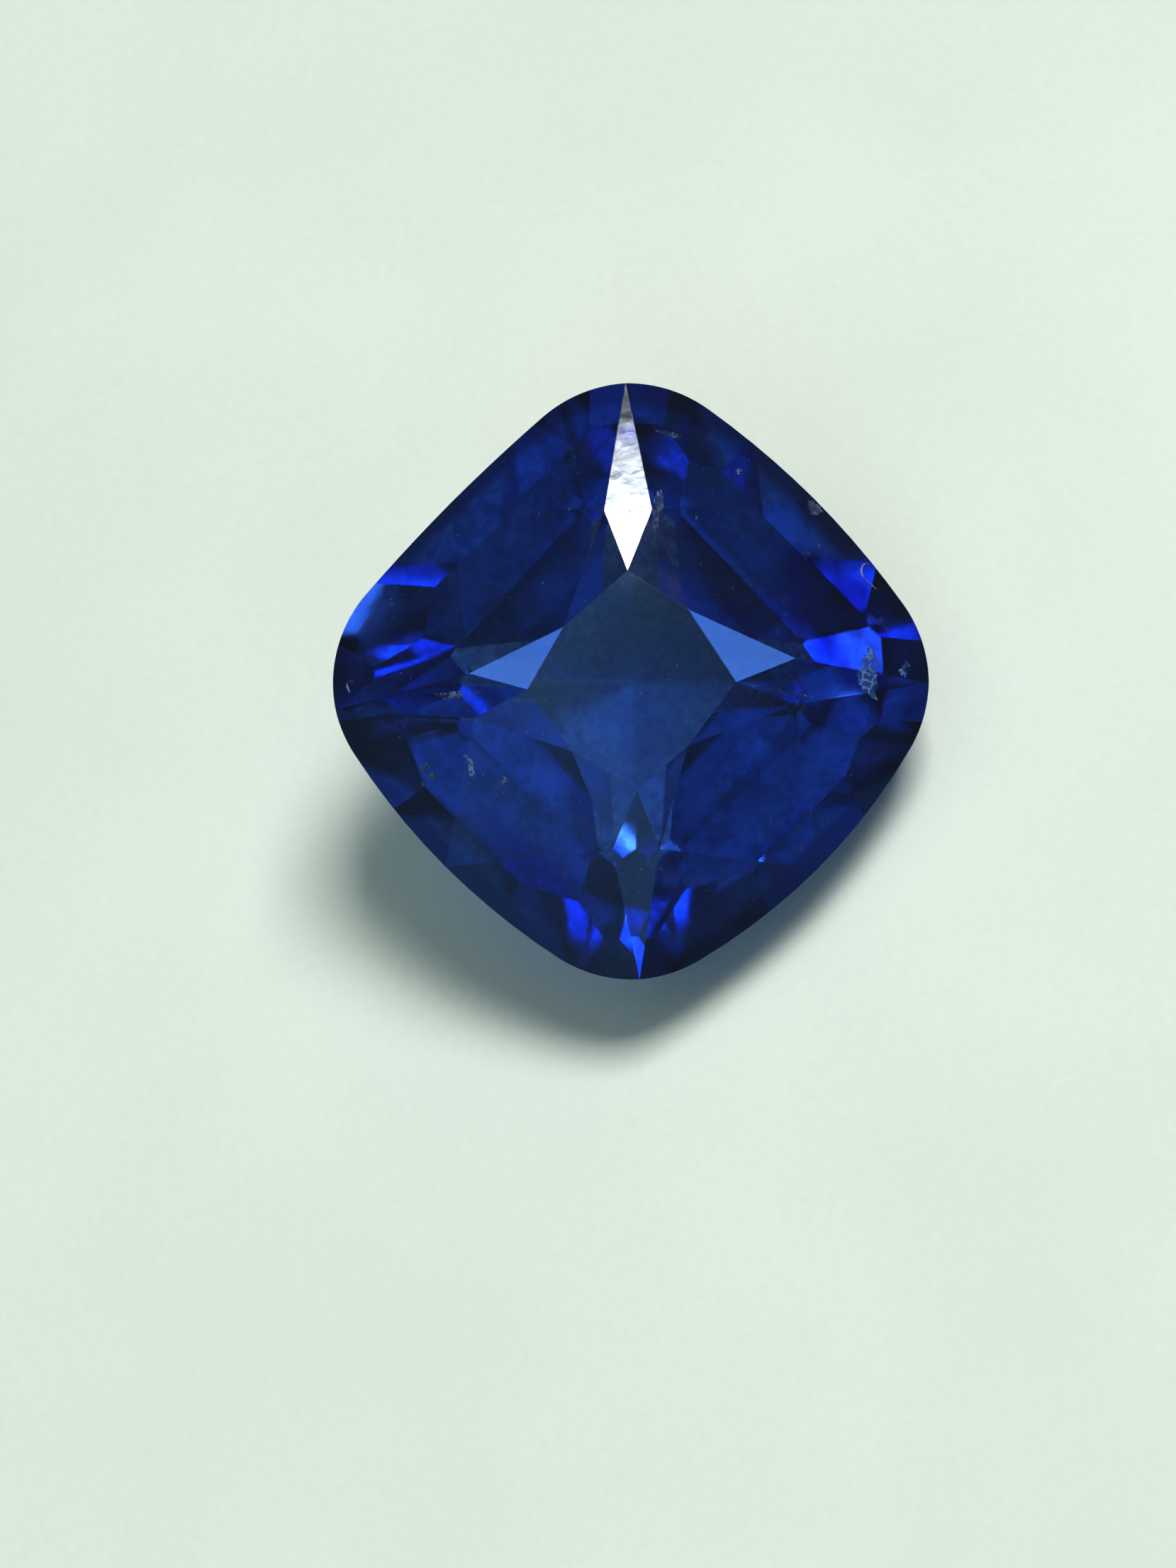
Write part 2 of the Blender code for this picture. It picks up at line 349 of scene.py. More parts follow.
@dataclass(frozen=True)
class SapphireFinish:
    """Polished deep blue corundum: clear, with the blue in its depth.

    Polish is the facets' roughness, and worn is what full wear adds to it.  Places across
    the stone are in millimetres.  A name that ends in edges holds the two values between
    which a pattern, or a distance, changes from none to full.
    """

    ior: float = 1.77
    absorption: Colour = (0.14, 0.49, 0.89)
    density: float = 340.0
    polish: float = 0.08
    worn: float = 0.16
    smudge_grain: float = 0.9 * MM
    smudge_edges: Pair = (0.35, 0.75)
    smudge_range: Pair = (0.7, 1.3)
    wave_grain: float = 0.30 * MM
    wave_height: float = 0.0010 * MM
    ripple_grain: float = 0.09 * MM
    ripple_share: float = 0.12
    scuff_grain: float = 0.06 * MM
    scuff_share: float = 0.03
    worn_scuff_share: float = 0.3
    band_width: float = 1.1 * MM
    band_lean: float = 78.0
    band_bearing: float = 35.0
    band_edges: Pair = (0.35, 0.65)
    band_tint: Colour = (0.80, 0.86, 1.0)
    mottle_grains: Pair = (0.8 * MM, 0.20 * MM)
    mottle_shares: Pair = (0.62, 0.38)
    mottle_edges: Pair = (0.60, 0.42)
    mottle_far_edges: Pair = (1.0, 2.8)
    mottle_near_share: float = 0.35
    mottle_dark: float = 0.40
    wobble_grain: float = 0.6 * MM
    rim_power: float = 3.3
    # painted shade: the dark colour of the band next to the girdle, standing for the darkness seen there
    rim_painted_shade: Colour = (0.10, 0.12, 0.16)
    rim_shade_edges: Pair = (4.52, 4.76)
    rim_wobble: float = 0.12
    tip_edges: Pair = (4.45, 4.6)
    tip_up: float = 0.08
    tip_right: float = 0.05
    tip_soft: float = 0.02
    # painted shade round the tip: shares of the colour above it, at its lower left and at its lower right
    tip_painted_shades: tuple[float, float, float] = (0.56, 1.0, 0.80)
    zone_edges: Pair = (1.15, 0.55)
    zone_wobble: float = 0.8
    zoning_and_painted_shade: tuple[ColourZone, ...] = (
        # painted shade: dims a bright patch of light near the right corner
        ColourZone(4.05, 1.10, 0.95, 2.1, -35.0, (0.06, 0.07, 0.34)),
        ColourZone(-1.75, -3.95, 0.55, 2.0, -42.0, (0.35, 0.30, 1.0)),
        ColourZone(1.95, 1.85, 0.50, 1.1, -45.0, (1.0, 0.72, 0.50)),
        # painted shade: dims a bright triangle of light nearer the right corner
        ColourZone(4.45, 1.90, 0.80, 1.2, -40.0, (0.10, 0.10, 0.20)),
        ColourZone(-4.30, 2.05, 0.60, 0.5, 0.0, (0.25, 0.30, 0.40)),
    )

    def stone_place(self, shader: Shader, place: "Value", axes: StoneAxes) -> tuple["Value", "Value"]:
        """Gives the place across the stone, in millimetres right of and above its middle.

        Args:
            shader: the tree.
            place: the Object coordinates.
            axes: the stone's directions.

        Returns:
            The two distances.
        """
        right = (shader.dot(place, axes.right) - axes.table.dot(axes.right)) / MM
        up = (shader.dot(place, axes.up) - axes.table.dot(axes.up)) / MM
        return right, up

    def rim_distance(self, right: "Value", up: "Value") -> "Value":
        """Gives how far out a place is, along rings that have the girdle's form.

        It is the p-norm of the distances along the stone's two sides, whose unit circle is
        a rounded square.

        Args:
            right: millimetres right of the table's middle.
            up: millimetres above it in the picture.

        Returns:
            The distance.
        """
        first = ((right + up) * math.sqrt(0.5)).size()
        second = ((right - up) * math.sqrt(0.5)).size()
        return (first**self.rim_power + second**self.rim_power) ** (1.0 / self.rim_power)

    def growth_bands(self, shader: Shader, place: "Value", axes: StoneAxes) -> "Value":
        """Gives the faint straight bands that a stone's growth leaves in it.

        Args:
            shader: the tree.
            place: the Object coordinates.
            axes: the stone's directions.

        Returns:
            The colour.
        """
        across = shader.dot(place, axes.towards(self.band_lean, self.band_bearing)) / self.band_width
        bands = shader.value("TexNoise", {"noise_dimensions": "1D"}, W=across, Scale=1.0, Detail=3.0)
        return shader.blend(shader.ramp(bands, *self.band_edges), opaque(self.band_tint), WHITE)

    def mottle(self, shader: Shader, tint: "Value", place: "Value", rim: "Value") -> "Value":
        """Darkens the colour in soft spots, which are weaker near the stone's middle.

        Args:
            shader: the tree.
            tint: the colour so far.
            place: the Object coordinates.
            rim: the distance from the stone's middle.

        Returns:
            The colour.
        """
        broad_grain, fine_grain = self.mottle_grains
        broad_share, fine_share = self.mottle_shares
        broad = shader.noise(place, broad_grain, 4.0, Roughness=0.65)
        fine = shader.noise(place, fine_grain, 4.0, Roughness=0.7)
        spots = shader.ramp(broad_share * broad + fine_share * fine, *self.mottle_edges)
        far = shader.ramp(rim, *self.mottle_far_edges, self.mottle_near_share, 1.0)
        return shader.blend(spots * far, tint, shader.blend(self.mottle_dark, BLACK, tint))

    def paint_tip_shade(
        self, shader: Shader, tint: "Value", right: "Value", up: "Value", depth: "Value"
    ) -> "Value":
        """Paints shade on the facets round the tip, as three shares of the colour: above it, and at its
        lower left and right.

        The painted shade stands for the darker and lighter floor seen through these facets. The borders
        between the shares are level and upright, and nearly sharp.

        Args:
            shader: the tree.
            tint: the colour so far.
            right: millimetres right of the table's middle.
            up: millimetres above it in the picture.
            depth: millimetres below the table along the stone's axis.

        Returns:
            The colour.
        """
        deep = shader.ramp(depth, *self.tip_edges)
        above = shader.ramp(up, self.tip_up - self.tip_soft, self.tip_up + self.tip_soft)
        beside = shader.ramp(right, self.tip_right - self.tip_soft, self.tip_right + self.tip_soft)
        upper, left, low_right = self.tip_painted_shades
        lower = left + (low_right - left) * beside
        painted_sector = lower + (upper - lower) * above
        shade = 1.0 + (painted_sector - 1.0) * deep
        return shader.value("VectorMath", {"operation": "SCALE"}, in_0=tint, Scale=shade)

    def colour(self, shader: Shader, place: "Value", axes: StoneAxes) -> "Value":
        """Builds the colour that light takes on as it crosses the surface.

        Faint growth bands and a soft mottling cover the stone, painted shade darkens the facets
        round the tip, wavy-edged patches are more violet, browner or darker, partly as colour
        zoning and partly as painted shade over bright patches of light, and painted shade darkens the rim.

        Args:
            shader: the tree.
            place: the Object coordinates.
            axes: the stone's directions.

        Returns:
            The colour.
        """
        right, up = self.stone_place(shader, place, axes)
        rim = self.rim_distance(right, up)
        tint = self.mottle(shader, self.growth_bands(shader, place, axes), place, rim)
        height = shader.dot(place, axes.axis) - axes.table.dot(axes.axis)
        # painted shade on the facets round the tip
        tint = self.paint_tip_shade(shader, tint, right, up, height / -MM)
        sway = shader.noise(place, self.wobble_grain) - 0.5
        # colour zoning, and painted shade over bright patches of light
        for zone in self.zoning_and_painted_shade:
            inside = shader.ramp(zone.reach(right, up) + self.zone_wobble * sway, *self.zone_edges)
            tinted = shader.blend(1.0, tint, opaque(zone.tint), "MULTIPLY")
            tint = shader.blend(inside, tint, tinted)
        # painted shade: a wavy band next to the girdle is mixed towards the dark rim colour
        painted_rim_mask = shader.ramp(rim + self.rim_wobble * sway, *self.rim_shade_edges)
        return shader.blend(painted_rim_mask, tint, opaque(self.rim_painted_shade))

    def make(self, axes: StoneAxes) -> bpy.types.Material:
        """Builds the material.

        Facet faces are almost mirror smooth, and the rounded junctions and the girdle,
        which carry the attribute wear, are duller.  The polish is very slightly wavy.

        Args:
            axes: the stone's directions, for the colour zones.

        Returns:
            The material.
        """
        material = bpy.data.materials.new("sapphire_polished")
        shader = Shader(material)
        place = shader.object_place()
        wear = shader.value("Attribute", {"attribute_name": WEAR}, out="Fac")
        smudge = shader.noise(place, self.smudge_grain, 3.0)
        smudge = shader.ramp(smudge, *self.smudge_edges, *self.smudge_range)
        roughness = self.polish * smudge + wear * self.worn
        tint = self.colour(shader, place, axes)
        waves = shader.noise(place, self.wave_grain, 3.0)
        scuffs = shader.noise(place, self.scuff_grain)
        ripples = shader.noise(place, self.ripple_grain)
        height = waves + self.ripple_share * ripples + self.scuff_share * scuffs
        height = height + self.worn_scuff_share * wear * scuffs
        bump = shader.value("Bump", Strength=1.0, Distance=self.wave_height, Height=height, out="Normal")
        surface = shader.value(
            "BsdfPrincipled",
            out="BSDF",
            Base_Color=tint,
            Roughness=roughness,
            IOR=self.ior,
            Transmission_Weight=1.0,
            Normal=bump,
        )
        inside = shader.value(
            "VolumeAbsorption", out="Volume", Color=opaque(self.absorption), Density=self.density
        )
        shader.finish(Surface=surface, Volume=inside)
        return material


@dataclass(frozen=True)
class FlawFinish:
    """The wall of a healed crack or a crystal speck: silky, patchy and laced with lines.

    The veil is how much of the wall shows between the lines, and the lace how much the
    lines themselves do.  The grain is the size of its fine lumps; the clouds and the cells
    that the lines run round are multiples of it.
    """

    name: str
    colour: Colour
    grain: float
    veil: float
    lace: float
    roughness: float = 0.35
    ior: float = 1.5
    cloud_size: float = 3.0
    cells_per_grain: float = 0.6
    line_edges: Pair = (0.02, 0.16)
    lace_edges: Pair = (0.42, 0.58)
    veil_edges: Pair = (0.28, 0.56)
    tone_edges: Pair = (0.25, 0.75)
    dark_tone: float = 0.40
    rough_edges: Pair = (0.3, 0.7)
    rough_range: Pair = (0.7, 1.3)

    def make(self) -> bpy.types.Material:
        """Builds the material.

        Returns:
            The material, whose alpha is laced by cell walls and broken up by a noise.
        """
        material = bpy.data.materials.new(self.name)
        shader = Shader(material)
        place = shader.object_place()
        fine = shader.noise(place, self.grain, 4.0, Roughness=0.7)
        broad = shader.noise(place, self.grain * self.cloud_size, 3.0)
        aside = shader.blend(fine, (0.0,) * 4, (self.grain,) * 4)
        pushed = shader.value("VectorMath", {"operation": "ADD"}, in_0=place, in_1=aside)
        cells = shader.value(
            "TexVoronoi",
            {"feature": "DISTANCE_TO_EDGE"},
            out="Distance",
            Vector=pushed,
            Scale=self.cells_per_grain / self.grain,
        )
        lines = shader.ramp(cells, *self.line_edges, 1.0, 0.0) * shader.ramp(broad, *self.lace_edges)
        tone = shader.ramp(fine * 0.5 + lines * 0.5, *self.tone_edges)
        colour = shader.blend(tone, opaque(self.colour, self.dark_tone), opaque(self.colour))
        cover = (self.veil * shader.ramp(broad, *self.veil_edges) + self.lace * lines).at_most(1.0)
        least, most = (self.roughness * part for part in self.rough_range)
        rough = shader.ramp(broad, *self.rough_edges, least, most)
        surface = shader.value(
            "BsdfPrincipled", out="BSDF", Base_Color=colour, Roughness=rough, Alpha=cover, IOR=self.ior
        )
        shader.finish(Surface=surface)
        return material


@dataclass(frozen=True)
class FloorFinish:
    """A plain matt floor, pale with a trace of green, with a very fine grain."""

    pale: Colour = (0.545, 0.595, 0.53)
    grain: float = 0.22 * MM
    grain_share: float = 0.3
    grain_height: float = 0.006 * MM
    cloud_grain: float = 9.0 * MM
    cloud_share: float = 0.7
    cloud_edges: Pair = (0.35, 0.65)
    deeper: float = 0.94
    roughness: float = 0.62

    def make(self) -> bpy.types.Material:
        """Builds the material.

        Returns:
            The material.
        """
        material = bpy.data.materials.new("pale_floor")
        shader = Shader(material)
        place = shader.object_place()
        fine = shader.noise(place, self.grain, 3.0)
        broad = shader.noise(place, self.cloud_grain, 3.0)
        clouds = shader.ramp(fine * self.grain_share + broad * self.cloud_share, *self.cloud_edges)
        colour = shader.blend(clouds, opaque(self.pale, self.deeper), opaque(self.pale))
        bump = shader.value("Bump", Strength=1.0, Distance=self.grain_height, Height=fine, out="Normal")
        surface = shader.value(
            "BsdfPrincipled", out="BSDF", Base_Color=colour, Roughness=self.roughness, Normal=bump
        )
        shader.finish(Surface=surface)
        return material


def mesh_piece(name: str, points: np.ndarray, faces: np.ndarray) -> bpy.types.Object:
    """Makes an object at the origin from points in the frame's metres.

    Args:
        name: the piece's name.
        points: an array of n by 3 places.
        faces: an array of m by 3 or m by 4 indices.

    Returns:
        The linked object.
    """
    mesh = bpy.data.meshes.new(name)
    mesh.from_pydata(points, [], faces)
    mesh.validate()
    mesh.update()
    piece = bpy.data.objects.new(name, mesh)
    bpy.context.scene.collection.objects.link(piece)
    return piece


def wrap_grid(rows: int, columns: int) -> np.ndarray:
    """Gives the quads of a grid that closes on itself along its columns.

    Args:
        rows: the number of rings.
        columns: the points of a ring.

    Returns:
        An array of (rows - 1) * columns by 4 indices.
    """
    ring, step = np.meshgrid(np.arange(rows - 1), np.arange(columns), indexing="ij")
    beside = (step + 1) % columns
    first = ring * columns + step
    second = ring * columns + beside
    return np.stack([first, second, second + columns, first + columns], axis=-1).reshape(-1, 4)


def join_on(piece: bpy.types.Object, finish: bpy.types.Material) -> bpy.types.Object:
    """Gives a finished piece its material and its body.

    Args:
        piece: the piece, in place.
        finish: its material.

    Returns:
        The piece.
    """
    piece.data.materials.clear()
    piece.data.materials.append(finish)
    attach(piece, BODY)
    LOG.info("%s: %d faces", piece.name, len(piece.data.polygons))
    return piece


@dataclass
class CutStone:
    """The sapphire: the CAD solid with its junctions very slightly rounded."""

    axes: StoneAxes
    finish: SapphireFinish = SapphireFinish()
    merge_within: float = 0.0005 * MM
    flat_within: float = math.radians(0.15)
    sharp_from: float = math.radians(1.0)
    junction_width: float = 0.014 * MM
    junction_steps: int = 2
    junction_wear: float = 1.0
    girdle_lean: float = 0.25
    girdle_wear: float = 0.5

    def merged_solid(self) -> bmesh.types.BMesh:
        """Copies the CAD node's triangles and joins them into flat facets.

        Returns:
            A closed mesh, in millimetres, so that the small bevel is worked out well.
        """
        solid = bmesh.new()
        solid.from_mesh(frame["nodes"][NODE].data)
        bmesh.ops.remove_doubles(solid, verts=solid.verts[:], dist=self.merge_within)
        bmesh.ops.scale(solid, vec=Vector((1.0, 1.0, 1.0)) / MM, verts=solid.verts[:])
        bmesh.ops.dissolve_limit(
            solid, angle_limit=self.flat_within, verts=solid.verts[:], edges=solid.edges[:]
        )
        bmesh.ops.recalc_face_normals(solid, faces=solid.faces[:])
        return solid

    def round_junctions(self, solid: bmesh.types.BMesh) -> None:
        """Rounds the edges between facets and marks them, and the girdle, as worn.

        Args:
            solid: the closed mesh, in millimetres.
        """
        wear = solid.faces.layers.float.new(WEAR)
        for face in solid.faces:
            upright = abs(face.normal.dot(self.axes.axis)) < self.girdle_lean
            face[wear] = self.girdle_wear if upright else 0.0
        sharp = [edge for edge in solid.edges if edge.calc_face_angle(0.0) > self.sharp_from]
        rounded = bmesh.ops.bevel(
            solid,
            geom=sharp,
            offset=self.junction_width / MM,
            offset_type="WIDTH",
            segments=self.junction_steps,
            profile=0.5,
            affect="EDGES",
            clamp_overlap=True,
        )
        for face in rounded["faces"]:
            face[wear] = self.junction_wear

    def build(self) -> bpy.types.Object:
        """Makes the stone and lets it stand for the CAD node.

        Returns:
            The finished piece.
        """
        solid = self.merged_solid()
        self.round_junctions(solid)
        bmesh.ops.scale(solid, vec=Vector((MM, MM, MM)), verts=solid.verts[:])
        mesh = bpy.data.meshes.new("cut_sapphire")
        solid.to_mesh(mesh)
        solid.free()
        piece = bpy.data.objects.new("cut_sapphire", mesh)
        bpy.context.scene.collection.objects.link(piece)
        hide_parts(NODE)
        return join_on(piece, self.finish.make(self.axes))


class Flaw(Enum):
    """What a small mark in or on the stone is."""

    FEATHER = "feather"
    BREAK = "feather that reaches the surface"
    WISP = "wisp"
    CHIP = "chip"
    PINPOINT = "pinpoint"
    MOSS = "moss"
    FIBRE = "fibre"


@dataclass(frozen=True)
class Mark:
    """One flaw, by where the camera sees it: millimetres from the table's middle.

    The turn is in degrees clockwise, the bend is how far its ends sway aside, and under is
    how deep below the crown it lies.  A fibre's wide is its half thickness.
    """

    name: str
    kind: Flaw
    right: float
    up: float
    long: float
    wide: float
    turn: float = 0.0
    bend: float = 0.0
    under: float = 0.12


@dataclass
class Inclusions:
    """The flaws that show through the crown or lie on it.

    Lengths are in millimetres, as in the marks, except where MM is written.  The wall's
    thickness is half the real one, and the speck's is half its own as a share of its width.
    """

    axes: StoneAxes
    stone: bpy.types.Object
    silk: FlawFinish = FlawFinish("feather_silk", (0.32, 0.54, 1.0), 0.08 * MM, 0.80, 0.75, 0.3)
    wall: FlawFinish = FlawFinish("feather_wall", (0.05, 0.11, 0.34), 0.09 * MM, 0.62, 0.70, 0.70, 1.12)
    wisp: FlawFinish = FlawFinish("thin_wisp", (0.40, 0.55, 0.78), 0.07 * MM, 0.26, 0.32, 0.5)
    chip: FlawFinish = FlawFinish("chip_wall", (0.11, 0.15, 0.26), 0.12 * MM, 0.90, 0.30, 0.3)
    grain: FlawFinish = FlawFinish("pale_speck", (0.60, 0.70, 0.80), 0.03 * MM, 0.85, 0.50, 0.4)
    fibre: FlawFinish = FlawFinish("curled_fibre", (0.15, 0.16, 0.32), 0.05 * MM, 0.95, 0.05, 0.5)
    moss: FlawFinish = FlawFinish("green_speck", (0.10, 0.50, 0.62), 0.06 * MM, 0.80, 0.60, 0.4)
    marks: tuple[Mark, ...] = (
        Mark("feather_right", Flaw.BREAK, 4.57, 0.16, 0.90, 0.40, -10.0, 0.05, under=0.0),
        Mark("feather_edge", Flaw.BREAK, 5.27, 0.24, 0.32, 0.17, 15.0, 0.03, under=0.0),
        Mark("feather_edge_top", Flaw.WISP, 4.93, 0.95, 0.34, 0.09, -35.0, 0.02),
        Mark("feather_left", Flaw.FEATHER, -3.05, -1.62, 0.50, 0.12, -28.0, 0.07),
        Mark("feather_left_low", Flaw.WISP, -2.45, -1.90, 0.30, 0.10, 30.0, 0.03),
        Mark("wisp_by_flash", Flaw.WISP, 0.49, 3.27, 0.86, 0.18, 8.0, 0.04),
        Mark("wisp_top", Flaw.WISP, 0.73, 4.75, 0.10, 0.53, 15.0, 0.02),
        Mark("chip_rim", Flaw.CHIP, 3.54, 3.36, 0.34, 0.26, -45.0, under=0.002),
        Mark("curl_right", Flaw.FIBRE, 4.58, 2.12, 0.38, 0.020, under=0.0),
        Mark("hook_left", Flaw.FIBRE, -5.40, -0.05, 0.16, 0.022, 15.0, under=0.0),
        Mark("wisp_arm_left", Flaw.WISP, -3.30, -0.25, 0.15, 0.90, -6.0),
        Mark("wisp_arm_right", Flaw.WISP, 2.80, -0.18, 0.09, 1.30, 10.0),
        Mark("speck_top", Flaw.PINPOINT, 2.07, 4.04, 0.13, 0.10, 40.0),
        Mark("speck_patch", Flaw.PINPOINT, 3.36, 2.44, 0.10, 0.20, 20.0),
        Mark("speck_patch_side", Flaw.PINPOINT, 3.62, 2.62, 0.06, 0.05, 20.0),
        Mark("speck_patch_top", Flaw.PINPOINT, 3.22, 2.74, 0.04, 0.05, 20.0),
        Mark("speck_low_right", Flaw.PINPOINT, 3.28, -3.17, 0.05, 0.04),
        Mark("speck_by_flash", Flaw.PINPOINT, 0.77, 4.73, 0.04, 0.03),
        Mark("speck_upper_left", Flaw.PINPOINT, -1.16, 3.28, 0.05, 0.04),
        Mark("speck_upper_right", Flaw.PINPOINT, 1.24, 3.12, 0.06, 0.045),
        Mark("speck_right", Flaw.PINPOINT, 2.89, -0.89, 0.05, 0.04),
        Mark("speck_arm", Flaw.PINPOINT, 3.60, 1.04, 0.05, 0.04),
        Mark("speck_left", Flaw.PINPOINT, -4.42, -1.05, 0.05, 0.04),
        Mark("moss_upper", Flaw.MOSS, -3.93, -1.62, 0.22, 0.13, 35.0, 0.03),
        Mark("moss_middle", Flaw.MOSS, -3.84, -1.78, 0.28, 0.15, 60.0, 0.04),
        Mark("moss_lower", Flaw.MOSS, -3.98, -1.93, 0.12, 0.06),
    )
    look_from: float = 20.0
    merge_within: float = 0.0001 * MM
    wall_thickness: float = 0.006
    speck_thickness: float = 0.3
    lens_grid: tuple[int, int] = (15, 64)
    lens_waves: tuple[tuple[float, float, float], ...] = (
        (3.0, 0.15, 1.0),
        (7.0, 0.11, 2.0),
        (12.0, 0.08, 3.0),
        (19.0, 0.05, 5.0),
    )
    lens_sway: float = 2.4
    fibre_grid: tuple[int, int] = (41, 8)
    fibre_start: float = 55.0
    fibre_sweep: float = 195.0
    fibre_hook: float = 0.7
    fibre_tail: float = 0.3
    fibre_half_axes: Pair = (0.38, 0.47)
    fibre_tail_run: Pair = (0.50, -0.50)
    fibre_blunt: Pair = (0.004, 0.996)
    dust_seed: int = 7
    dust_count: int = 420
    dust_reach: float = 4.9
    dust_depth: Pair = (0.05, 0.5)
    dust_size: Pair = (0.005, 0.016)
    dust_stretch: Pair = (0.5, 1.6)

    def crown(self) -> BVHTree:
        """Returns the stone's faces, for finding the crown above a flaw."""
        mesh = self.stone.data
        return BVHTree.FromPolygons(
            [point.co for point in mesh.vertices], [face.vertices for face in mesh.polygons]
        )

    def seat(self, crown: BVHTree, mark: Mark) -> tuple[Vector, Vector]:
        """Finds the place under the crown, or on it, where a flaw shows.

        Args:
            crown: the stone's faces.
            mark: the flaw.

        Returns:
            The place and the normal of the facet above it.
        """
        above = self.axes.place(mark.right * MM, mark.up * MM, -self.look_from * MM)
        point, normal, _, _ = crown.ray_cast(above, -self.axes.axis)
        return point - self.axes.axis * (mark.under * MM), normal

    def lens(self, mark: Mark, thick: float, seed: int) -> tuple[np.ndarray, np.ndarray]:
        """Makes a flat closed blob with a ragged rim.

        The radius is one plus four sines of the angle, each with its own count, size and
        phase; the height is the square root of one minus the squared distance from the
        middle, and both faces meet at the rim.  The bend shifts it aside by a sine of the
        distance along it.

        Args:
            mark: the flaw, for its length, width and bend.
            thick: the half thickness, in millimetres.
            seed: which wavy rim.

        Returns:
            Points in millimetres, lying along up and right, and the quads.
        """
        rows, columns = self.lens_grid
        down, around = np.meshgrid(
            np.linspace(0.0, math.pi, rows),
            np.linspace(0.0, 2.0 * math.pi, columns, endpoint=False),
            indexing="ij",
        )
        waves = np.array(self.lens_waves)
        count, size, phase = (waves[:, place, None, None] for place in range(3))
        out = np.sin(down) * (1.0 + (size * np.sin(count * around + phase * seed)).sum(axis=0))
        along = out * np.cos(around)
        aside = 0.5 * mark.wide * out * np.sin(around) + mark.bend * np.sin(self.lens_sway * along)
        points = np.stack([aside, 0.5 * mark.long * along, thick * np.cos(down)], axis=-1)
        return points.reshape(-1, 3), wrap_grid(rows, columns)

    def curl(self, mark: Mark) -> tuple[np.ndarray, np.ndarray]:
        """Makes a thin fibre that bends round like a C and ends in a straight tail.

        The path is an arc of an ellipse and then a line, and its tube's radius falls to
        nothing at both ends as the square root of a sine.

        Args:
            mark: the flaw, for its length and half thickness.

        Returns:
            Points in millimetres and the quads.
        """
        rows, columns = self.fibre_grid
        along = np.linspace(0.0, 1.0, rows)
        hook = np.clip(along / self.fibre_hook, 0.0, 1.0)
        tail = np.clip((along - self.fibre_hook) / self.fibre_tail, 0.0, 1.0)
        turned = np.radians(self.fibre_start + self.fibre_sweep * hook)
        (wide, high), (right, up) = self.fibre_half_axes, self.fibre_tail_run
        path = mark.long * np.stack(
            [wide * np.cos(turned) + right * tail, high * np.sin(turned) + up * tail, 0.0 * along], axis=-1
        )
        tangent = np.gradient(path, axis=0)
        tangent /= np.linalg.norm(tangent, axis=1, keepdims=True)
        aside = np.stack([-tangent[:, 1], tangent[:, 0], 0.0 * along], axis=-1)
        turn = np.linspace(0.0, 2.0 * math.pi, columns, endpoint=False)[None, :, None]
        radius = mark.wide * np.sqrt(np.sin(np.pi * np.clip(along, *self.fibre_blunt)))
        ring = aside[:, None, :] * np.cos(turn) + np.array([0.0, 0.0, 1.0]) * np.sin(turn)
        points = path[:, None, :] + radius[:, None, None] * ring
        return points.reshape(-1, 3), wrap_grid(rows, columns)

    def place_mark(self, crown: BVHTree, mark: Mark, seed: int) -> bpy.types.Object:
        """Makes one flaw, lying along the facet above it.

        Args:
            crown: the stone's faces.
            mark: the flaw.
            seed: which wavy rim it has.

        Returns:
            The piece.
        """
        point, normal = self.seat(crown, mark)
        if mark.kind is Flaw.FIBRE:
            points, faces = self.curl(mark)
        else:
            is_speck = mark.kind is Flaw.PINPOINT
            thick = self.speck_thickness * mark.wide if is_speck else self.wall_thickness
            points, faces = self.lens(mark, thick, seed)
        turn = math.radians(mark.turn)
        level_up = (self.axes.up - normal * self.axes.up.dot(normal)).normalized()
        level_right = level_up.cross(normal)
        up = level_up * math.cos(turn) + level_right * math.sin(turn)
        basis = np.array([up.cross(normal), up, normal])
        return self.close_ends(mesh_piece(mark.name, points @ basis * MM + np.array(point), faces))

    def build(self) -> list[bpy.types.Object]:
        """Makes every flaw in its place, and then the dust.

        Returns:
            The pieces.
        """
        crown = self.crown()
        grain = self.grain.make()
        finishes = {
            Flaw.FEATHER: self.silk.make(),
            Flaw.BREAK: self.wall.make(),
            Flaw.WISP: self.wisp.make(),
            Flaw.CHIP: self.chip.make(),
            Flaw.MOSS: self.moss.make(),
            Flaw.PINPOINT: grain,
            Flaw.FIBRE: self.fibre.make(),
        }
        pieces = [
            join_on(self.place_mark(crown, mark, seed), finishes[mark.kind])
            for seed, mark in enumerate(self.marks)
        ]
        pieces.append(join_on(self.scatter_dust(crown), grain))
        return pieces

